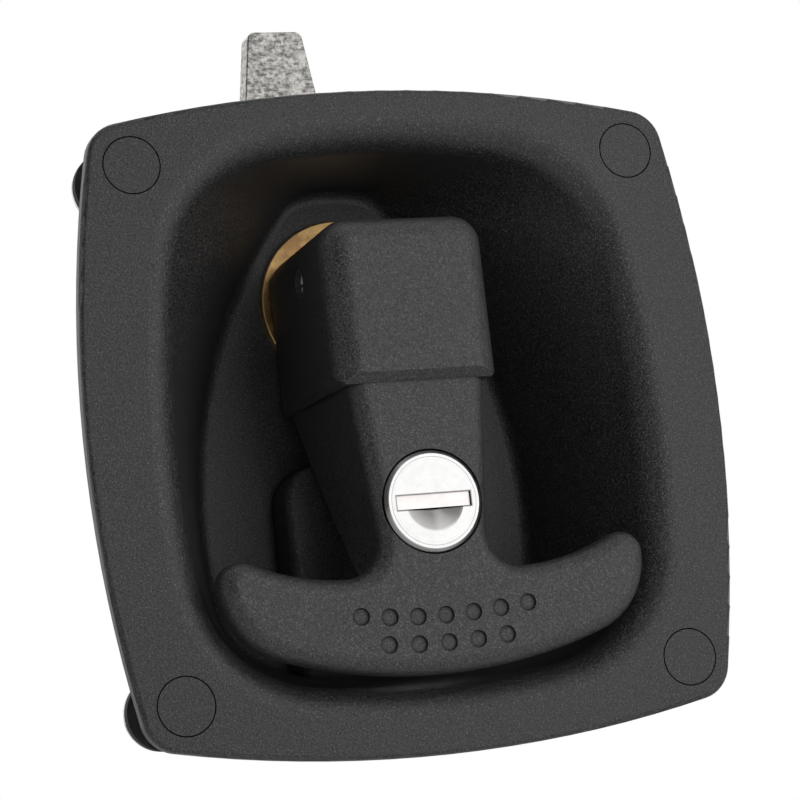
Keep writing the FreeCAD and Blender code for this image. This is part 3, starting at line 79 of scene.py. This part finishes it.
class Recipe(Nodes):
    """A node material with one principled shader. The scales of noise and cells are per metre."""

    def __init__(self, name):
        self.material = bpy.data.materials.new(name)
        self.material.use_nodes = True
        super().__init__(self.material.node_tree)
        self.shader = self.tree.nodes["Principled BSDF"]
        self.place = self.node("ShaderNodeTexCoord").outputs["Object"]

    def set(self, **inputs):
        """Feed the shader's sockets, each named by its label with _ for a space."""
        for key, value in inputs.items():
            self.feed(self.shader.inputs[key.replace("_", " ")], value)

    def stretched(self, scale, centre=(0, 0, 0)):
        """The place on the object, moved to a centre and stretched along each axis."""
        mapping = self.node("ShaderNodeMapping")
        self.feed(mapping.inputs["Vector"], self.place)
        mapping.inputs["Location"].default_value = [-c * s for c, s in zip(centre, scale)]
        mapping.inputs["Scale"].default_value = scale
        return mapping.outputs["Vector"]

    def noise(self, scale, detail=2.0, roughness=0.5, place=None):
        made = self.node("ShaderNodeTexNoise")
        self.feed(made.inputs["Vector"], place or self.place)
        made.inputs["Scale"].default_value = scale
        made.inputs["Detail"].default_value = detail
        made.inputs["Roughness"].default_value = roughness
        return made.outputs["Fac"]

    def cells(self, scale, place=None):
        made = self.node("ShaderNodeTexVoronoi")
        self.feed(made.inputs["Vector"], place or self.place)
        made.inputs["Scale"].default_value = scale
        return made.outputs["Distance"]

    def ramp(self, value, *stops):
        """Value through a ramp of (position, grey) or (position, (r, g, b)) stops."""
        made = self.node("ShaderNodeValToRGB")
        self.feed(made.inputs["Fac"], value)
        elements = made.color_ramp.elements
        while len(elements) < len(stops):
            elements.new(1.0)
        for element, (position, tone) in zip(elements, stops):
            element.position = position
            rgb = tone if isinstance(tone, tuple) else (tone, tone, tone)
            element.color = (*rgb, 1.0)
        return made.outputs["Color"]

    def mix(self, share, a, b):
        """Colour a where the share is 0 and colour b where it is 1."""
        made = self.node("ShaderNodeMix", data_type="RGBA")
        self.feed(made.inputs[0], share)
        self.feed(made.inputs[6], a if isinstance(a, bpy.types.NodeSocket) else (*a, 1.0))
        self.feed(made.inputs[7], b if isinstance(b, bpy.types.NodeSocket) else (*b, 1.0))
        return made.outputs[2]

    def bump(self, height, depth, strength=1.0, under=None):
        made = self.node("ShaderNodeBump")
        self.feed(made.inputs["Height"], height)
        made.inputs["Distance"].default_value = depth
        made.inputs["Strength"].default_value = strength
        if under is not None:
            self.feed(made.inputs["Normal"], under)
        return made.outputs["Normal"]

    def openness(self, reach):
        """1 on open faces, falling in corners and seams narrower than the reach."""
        made = self.node("ShaderNodeAmbientOcclusion", samples=8, only_local=True)
        made.inputs["Distance"].default_value = reach
        return made.outputs["AO"]

    def axis_value(self, axis):
        parts = self.node("ShaderNodeSeparateXYZ")
        self.feed(parts.inputs[0], self.place)
        return parts.outputs[axis]

    def off_axis(self, centre):
        """Distance from a line along Y through a centre, for turned and pressed round pieces."""
        made = self.node("ShaderNodeVectorMath", operation="LENGTH")
        self.feed(made.inputs[0], self.stretched((1, 0, 1), centre))
        return made.outputs["Value"]

    def ring_place(self, radius):
        """A texture place that changes only with the distance from an axis."""
        joined = self.node("ShaderNodeCombineXYZ")
        self.feed(joined.inputs[0], self.math("MULTIPLY", radius, 2500.0))
        return joined.outputs[0]


def coat_nodes(r, dark):
    """Sandy black powder coat with pale specks painted as glints and painted shade in its corners: colour,
    roughness and normal.
    """
    grain = r.noise(2600, 2.0, 0.75)
    # Painted glints: pale specks in the coat's colour stand in for the sparkle of its grain.
    painted_glints = r.ramp(r.noise(3300, 1.0, 0.4), (0.55, 0.0), (0.74, 1.0))
    patches = r.noise(60, 3.0, 0.55)
    body = r.mix(patches, tuple(c * 1.5 for c in dark), tuple(c * 1.9 for c in dark))
    body = r.mix(r.ramp(grain, (0.34, 0.0), (0.66, 1.0)), tuple(c * 0.05 for c in dark), body)
    colour = r.mix(r.math("MULTIPLY", painted_glints, 0.46), body, COAT_GLINT_TONE)
    # Painted shade: the openness mask darkens the coat in corners, seams and dimples, and also raises its
    # roughness there.
    dust_and_painted_shade = r.ramp(r.openness(CORNER_REACH), (0.6, 1.0), (0.97, 0.0))
    colour = r.mix(dust_and_painted_shade, colour, tuple(c * 0.12 for c in dark))
    sandy = r.math("ADD", r.math("MULTIPLY", grain, 0.25), 0.3)
    rough = r.math("ADD", r.math("MULTIPLY", dust_and_painted_shade, 0.35), sandy)
    low = r.bump(r.noise(900, 2.0, 0.5), 0.02 * MM, 0.7)
    normal = r.bump(grain, 0.1 * MM, 1.0, under=low)
    return colour, rough, normal


def powder_coat(name, dark):
    """Powder coated casting."""
    r = Recipe(name)
    colour, rough, normal = coat_nodes(r, dark)
    r.set(Base_Color=colour, Roughness=rough, Normal=normal)
    r.set(Metallic=0.0, IOR=1.5, Specular_IOR_Level=COAT_SPECULAR)
    return r.material


def plated(name, tone, rough, mottle, streak=(1, 1, 1), scratch=0.5, spread=0.0, cloud=260, metallic=1.0):
    """Plated or rolled metal: cloudy tone, fine streaks and scattered scratches."""
    r = Recipe(name)
    clouds = r.noise(cloud, 4.0, 0.6)
    grain = r.noise(900, 3.0, 0.6, place=r.stretched(streak))
    shade = r.math("ADD", r.math("MULTIPLY", clouds, 0.6), r.math("MULTIPLY", grain, 0.4))
    low = tuple(c * (1 - mottle) for c in tone)
    high = tuple(min(1.0, c * (1 + mottle * 0.5)) for c in tone)
    colour = r.ramp(shade, (0.4, low), (0.6, high))
    nicks = r.ramp(r.cells(700, place=r.stretched((1.0, 1.0, 0.35))), (0.0, 1.0), (0.09, 0.0))
    roughness = r.math("ADD", r.math("MULTIPLY", shade, 0.25 + spread), rough - 0.1)
    height = r.math("SUBTRACT", grain, r.math("MULTIPLY", nicks, scratch))
    r.set(Base_Color=colour, Roughness=roughness, Metallic=metallic, Normal=r.bump(height, 0.012 * MM, 0.6))
    return r.material


def turned_metal(name, tone, centre, rough, warm=None, rim=None):
    """Turned metal: fine rings round a centre, with a cloudy tone and, past a rim radius, a painted highlight
    on the edge.
    """
    r = Recipe(name)
    radius = r.off_axis(centre)
    wobble = r.math("ADD", r.math("MULTIPLY", radius, 5200.0), r.math("MULTIPLY", r.noise(180, 2.0), 2.0))
    lines = r.math("ADD", r.math("MULTIPLY", r.math("SINE", wobble), 0.5), 0.5)
    cloud = r.noise(240, 4.0, 0.6)
    high = tuple(min(1.0, c * 1.12) for c in tone)
    low = warm or tuple(c * 0.86 for c in tone)
    colour = r.mix(r.ramp(cloud, (0.38, 0.0), (0.62, 1.0)), low, high)
    colour = r.mix(r.math("MULTIPLY", lines, 0.18), colour, tuple(c * 0.7 for c in tone))
    # Painted highlight: past the rim radius the tone is brightened towards the edge.
    if rim:
        edge = r.math("MULTIPLY", r.math("SUBTRACT", radius, rim), MM_PER_METRE)
        painted_rim_highlight = tuple(min(1.0, c * 1.45) for c in tone)
        colour = r.mix(r.ramp(edge, (0.0, 0.0), (0.35, 1.0)), colour, painted_rim_highlight)
    roughness = r.math("ADD", r.math("MULTIPLY", cloud, 0.14), rough - 0.05)
    r.set(Base_Color=colour, Roughness=roughness, Metallic=1.0, Normal=r.bump(lines, 0.006 * MM, 0.5))
    return r.material


def chrome(name, tone, centre, rough, keyway=None):
    """Bright chrome with faint polishing rings, haze and a few pits; behind its face it is painted darker as
    shade, darkest on its left side.

    A keyway, given by its half width and half height, gets painted shade in it and in a thin line round it.
    """
    r = Recipe(name)
    radius = r.off_axis(centre)
    rings = r.noise(1.0, 3.0, 0.7, place=r.ring_place(radius))
    haze = r.noise(420, 4.0, 0.65)
    pits = r.ramp(r.cells(950), (0.0, 1.0), (0.10, 0.0))
    pits = r.math("MULTIPLY", pits, r.ramp(r.noise(300, 1.0), (0.52, 0.0), (0.6, 1.0)))
    shade = r.math("ADD", r.math("MULTIPLY", haze, 0.5), r.math("MULTIPLY", rings, 0.5))
    hazy = tuple(c * 0.82 for c in tone)
    colour = r.ramp(shade, (0.3, hazy), (0.62, tone))
    colour = r.mix(r.math("MULTIPLY", pits, 0.7), colour, (0.25, 0.25, 0.25))
    # Painted shade: behind the face the chrome is darkened, darker still on the left side.
    depth = r.math("MULTIPLY", r.math("SUBTRACT", r.axis_value(1), LOCK_FACE), MM_PER_METRE)
    painted_left_shade = r.ramp(r.math("ADD", r.math("MULTIPLY", r.axis_value(0), 300.0), 0.5), (0.35, 1.0), (0.75, 0.0))
    painted_barrel_shade = r.mix(painted_left_shade, (0.36, 0.34, 0.33), (0.12, 0.11, 0.105))
    colour = r.mix(r.ramp(depth, (0.03, 0.0), (0.14, 0.5), (0.9, 0.85)), colour, painted_barrel_shade)
    if keyway:
        sides = [
            r.math("SUBTRACT", r.math("ABSOLUTE", r.math("SUBTRACT", r.axis_value(axis), centre[axis])), half)
            for axis, half in zip((0, 2), keyway)
        ]
        # Painted shade in the keyway and in a thin line round it.
        edge = r.math("MULTIPLY", r.math("MAXIMUM", *sides), MM_PER_METRE)
        colour = r.mix(r.ramp(edge, (0.1, 0.8), (0.26, 0.0)), colour, (0.07, 0.06, 0.055))
    roughness = r.math("ADD", r.math("MULTIPLY", shade, 0.2), rough)
    height = r.math("SUBTRACT", r.math("MULTIPLY", rings, 0.5), pits)
    r.set(Base_Color=colour, Roughness=roughness, Metallic=1.0, Normal=r.bump(height, 0.008 * MM, 0.5))
    return r.material


def rubber(name):
    """Dull black rubber with some dust."""
    r = Recipe(name)
    tone = (0.012, 0.012, 0.013)
    dust_and_painted_shade = r.noise(350, 4.0, 0.6)
    pores = r.noise(2200, 2.0, 0.5)
    colour = r.mix(r.ramp(dust_and_painted_shade, (0.45, 0.0), (0.75, 1.0)), tone, tuple(c * 2.6 for c in tone))
    roughness = r.math("ADD", r.math("MULTIPLY", pores, 0.2), 0.62)
    r.set(Base_Color=colour, Roughness=roughness, Metallic=0.0, Normal=r.bump(pores, 0.02 * MM, 0.6))
    return r.material


def stud_material(name):
    """Zinc plated stud whose flush head is coated with the flange."""
    r = Recipe(name)
    coat_colour, coat_rough, normal = coat_nodes(r, PAN_COAT)
    behind = r.math("GREATER_THAN", r.axis_value(1), STUD_COAT_END)
    in_front = r.math("SUBTRACT", 1.0, behind)
    zinc = r.ramp(r.noise(300, 4.0, 0.6), (0.35, (0.42, 0.42, 0.4)), (0.65, (0.66, 0.66, 0.64)))
    r.set(
        Base_Color=r.mix(behind, coat_colour, zinc),
        Metallic=behind,
        Roughness=r.math("ADD", r.math("MULTIPLY", in_front, coat_rough), r.math("MULTIPLY", behind, 0.32)),
        Normal=normal,
        Specular_IOR_Level=COAT_SPECULAR,
    )
    return r.material


spindle_at = (0, 0, SPINDLE_UP)
lock_at = (0, 0, LOCK_DOWN)
# The washer's rim gets a painted highlight.
washer_gold = {"tone": (0.62, 0.4, 0.17), "warm": (0.34, 0.2, 0.09), "rim": WASHER_HIGHLIGHT_RIM}
cam_zinc = {"streak": (0.5, 1, 1.6), "scratch": 1.2, "spread": 0.15, "cloud": 1150}
looks = {
    "pan": powder_coat("powder_coat_pan", PAN_COAT),
    "handle": powder_coat("powder_coat_handle", HANDLE_COAT),
    "mounting_studs": stud_material("stud_coat_and_zinc"),
    "rubber_washers": rubber("moulded_rubber"),
    "steel_washers": plated("washer_zinc", (0.7, 0.7, 0.68), 0.25, 0.2),
    "stud_nuts": plated("nut_zinc", (0.6, 0.6, 0.58), 0.3, 0.25),
    "spindle_bush": turned_metal("bush_bronze", (0.55, 0.36, 0.17), spindle_at, 0.38),
    "spindle_seal": rubber("ring_rubber"),
    "wear_washer": turned_metal("wear_gold", centre=spindle_at, rough=0.36, **washer_gold),
    "spindle": turned_metal("spindle_steel", (0.58, 0.58, 0.57), spindle_at, 0.3),
    "thrust_washer": turned_metal("thrust_steel", (0.6, 0.6, 0.59), spindle_at, 0.3),
    "stop_plate": plated("stop_steel", (0.55, 0.55, 0.54), 0.33, 0.25),
    "spindle_spring": plated("spring_steel", (0.36, 0.36, 0.37), 0.3, 0.3),
    "cam": plated("cam_zinc", (0.51, 0.495, 0.47), 0.3, 0.72, **cam_zinc),
    "lock_washer": plated("lock_washer_steel", (0.48, 0.48, 0.48), 0.33, 0.3),
    "cam_nut": plated("cam_nut_zinc", (0.6, 0.6, 0.59), 0.28, 0.25),
    "pivot_pin": plated("pin_steel", (0.9, 0.9, 0.9), 0.35, 0.1, metallic=0.2),
    "lock_body": chrome("lock_chrome", (0.9, 0.89, 0.885), lock_at, 0.16),
    "lock_nut": plated("ring_nut_zinc", (0.6, 0.6, 0.59), 0.3, 0.25),
    "key_plug": chrome("plug_chrome", (0.93, 0.925, 0.92), lock_at, 0.22, keyway=KEYWAY),
    "wafers": plated("wafer_brass", (0.68, 0.5, 0.2), 0.3, 0.2),
    "shutter_wire": plated("wire_steel", (0.6, 0.6, 0.6), 0.25, 0.2),
    "locking_finger": plated("finger_zinc", (0.6, 0.6, 0.58), 0.3, 0.3),
    "finger_screw": plated("screw_zinc", (0.55, 0.55, 0.53), 0.3, 0.3),
    "dust_shutter": plated("shutter_steel", (0.93, 0.89, 0.87), 0.3, 0.1, streak=(0.2, 1, 1)),
}
for node, look in looks.items():
    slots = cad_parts[node].material_slots
    for slot in slots:
        slot.material = look
    if not slots:
        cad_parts[node].data.materials.append(look)


# Screw threads

def thread(name, body, look, centre, reach, radii, pitch):
    """One ridge that winds round a shank along Y.

    Its reach along Y, its root and crest radii and its pitch are in millimetres.
    """
    y0, y1 = (value * MM for value in reach)
    root, crest = (value * MM for value in radii)
    pitch *= MM
    steps = 20
    turns = (y1 - y0) / pitch
    count = int(turns * steps)
    points, faces = [], []
    for i in range(count + 1):
        angle = 2 * math.pi * i / steps
        y = y0 + pitch * i / steps
        fade = min(1.0, i / steps, (count - i) / steps)
        top = root + (crest - root) * fade
        for dy, radius in ((-pitch * 0.44, root), (0.0, top), (pitch * 0.44, root)):
            x = centre[0] + radius * math.cos(angle)
            z = centre[2] + radius * math.sin(angle)
            points.append((x, y + dy, z))
    for i in range(count):
        a = i * 3
        for j in (0, 1):
            faces.append((a + j, a + j + 1, a + j + 4, a + j + 3))
        faces.append((a + 2, a, a + 3, a + 5))
    faces.append((0, 2, 1))
    faces.append((count * 3, count * 3 + 1, count * 3 + 2))
    mesh = bpy.data.meshes.new(name)
    mesh.from_pydata(points, [], faces)
    mesh.validate()
    piece = bpy.data.objects.new(name, mesh)
    bpy.context.scene.collection.objects.link(piece)
    mesh.materials.append(look)
    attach(piece, body)


stud_zinc = plated("thread_zinc", (0.6, 0.6, 0.58), 0.3, 0.25)
for number, (side_x, side_z) in enumerate(((1, 1), (-1, 1), (-1, -1), (1, -1))):
    stud_at = (side_x * STUD_AT, 0, side_z * STUD_AT)
    thread(
        f"stud_thread_{number}", "housing", stud_zinc,
        stud_at, reach=(13.4, 22.6), radii=(2.66, 2.98), pitch=1.0,
    )
thread(
    "spindle_thread", "spindle_group", looks["spindle"],
    spindle_at, reach=(61.6, 71.0), radii=(4.67, 4.98), pitch=1.5,
)
thread(
    "lock_thread", "handle_group", looks["lock_nut"],
    lock_at, reach=(8.6, 13.0), radii=(7.88, 8.0), pitch=1.0,
)


# Stage, light and camera

FLOOR_Z = -0.26
SOFT_LIGHT = 0.42
FRONT_GLOW = 0.08
BACKDROP_EDGE = (-0.25, 0.15)
FLOOR_HALF = 4.0
FLOOR_LIFT = 0.26
CAMERA_AT = (-0.1806, -0.4872, -0.0716)
CAMERA_RIGHT = (0.938, -0.327, -0.1127)
CAMERA_UP = (0.0578, -0.173, 0.9832)
CAMERA_AHEAD = (0.341, 0.929, 0.1434)
CAMERA_LENS = 124.8


def make_stage():
    """A pale floor, lifted towards white for the camera, that keeps the object's shadow."""
    mesh = bpy.data.meshes.new("floor")
    corners = [(x * FLOOR_HALF, y * FLOOR_HALF, 0) for x, y in ((-1, -1), (1, -1), (1, 1), (-1, 1))]
    mesh.from_pydata(corners, [], [(0, 1, 2, 3)])
    floor = bpy.data.objects.new("floor", mesh)
    floor.location.z = FLOOR_Z
    bpy.context.scene.collection.objects.link(floor)
    pale = Recipe("floor_paper")
    tone = pale.ramp(pale.noise(3.0, 3.0), (0.3, 0.86), (0.7, 0.88))
    seen = pale.node("ShaderNodeLightPath").outputs["Is Camera Ray"]
    pale.set(Base_Color=tone, Roughness=0.9, Metallic=0.0, Emission_Color=(1, 1, 1, 1))
    pale.set(Emission_Strength=pale.math("MULTIPLY", seen, FLOOR_LIFT))
    mesh.materials.append(pale.material)


def make_world():
    """Plain soft light. Gloss and glass see a white backdrop behind the object and a dim room in front."""
    world = bpy.data.worlds.new("studio")
    bpy.context.scene.world = world
    world.use_nodes = True
    sky = Nodes(world.node_tree)

    def level(strength):
        made = sky.node("ShaderNodeBackground")
        made.inputs["Color"].default_value = (1, 1, 1, 1)
        made.inputs["Strength"].default_value = strength
        return made.outputs[0]

    def choose(share, first, second):
        made = sky.node("ShaderNodeMixShader")
        for socket, value in zip(made.inputs, (share, first, second)):
            sky.feed(socket, value)
        return made.outputs[0]

    path = sky.node("ShaderNodeLightPath").outputs
    parts = sky.node("ShaderNodeSeparateXYZ")
    sky.feed(parts.inputs[0], sky.node("ShaderNodeTexCoord").outputs["Generated"])
    behind = sky.node("ShaderNodeMapRange")
    sky.feed(behind.inputs["Value"], parts.outputs[1])
    for name, edge in zip(("From Min", "From Max"), BACKDROP_EDGE):
        behind.inputs[name].default_value = edge
    room = choose(behind.outputs[0], level(FRONT_GLOW), level(1.0))
    mirrored = sky.math("MAXIMUM", path["Is Glossy Ray"], path["Is Transmission Ray"])
    seen = choose(mirrored, level(SOFT_LIGHT), room)
    seen = choose(path["Is Camera Ray"], seen, level(1.0))
    sky.feed(sky.tree.nodes["World Output"].inputs["Surface"], seen)


def lamp(name, toward, distance, size, power):
    """A softbox that faces the object's middle from a direction."""
    data = bpy.data.lights.new(name, "AREA")
    data.shape = "RECTANGLE"
    data.size, data.size_y = size
    data.energy = power
    made = bpy.data.objects.new(name, data)
    made.location = Vector(toward).normalized() * distance
    made.rotation_euler = Vector(toward).to_track_quat("Z", "Y").to_euler()
    bpy.context.scene.collection.objects.link(made)


def make_camera():
    """The camera solved from the photograph's flange corners and stud circles."""
    data = bpy.data.cameras.new("camera")
    data.lens = CAMERA_LENS
    data.sensor_width = 36.0
    data.clip_start = 0.01
    camera = bpy.data.objects.new("camera", data)
    turn = Matrix((Vector(CAMERA_RIGHT), Vector(CAMERA_UP), -Vector(CAMERA_AHEAD))).transposed().to_4x4()
    camera.matrix_world = Matrix.Translation(CAMERA_AT) @ turn
    bpy.context.scene.collection.objects.link(camera)
    bpy.context.scene.camera = camera


make_stage()
make_world()
lamp("key", (0.52, -0.84, 0.27), 1.3, (1.35, 1.35), 6.6)
lamp("top", (0.0, -0.35, 0.94), 1.1, (0.9, 0.5), 1.2)
lamp("rim", (0.2, 0.9, 0.7), 1.1, (0.6, 0.6), 1.5)
make_camera()
bpy.context.scene.view_settings.view_transform = "Standard"
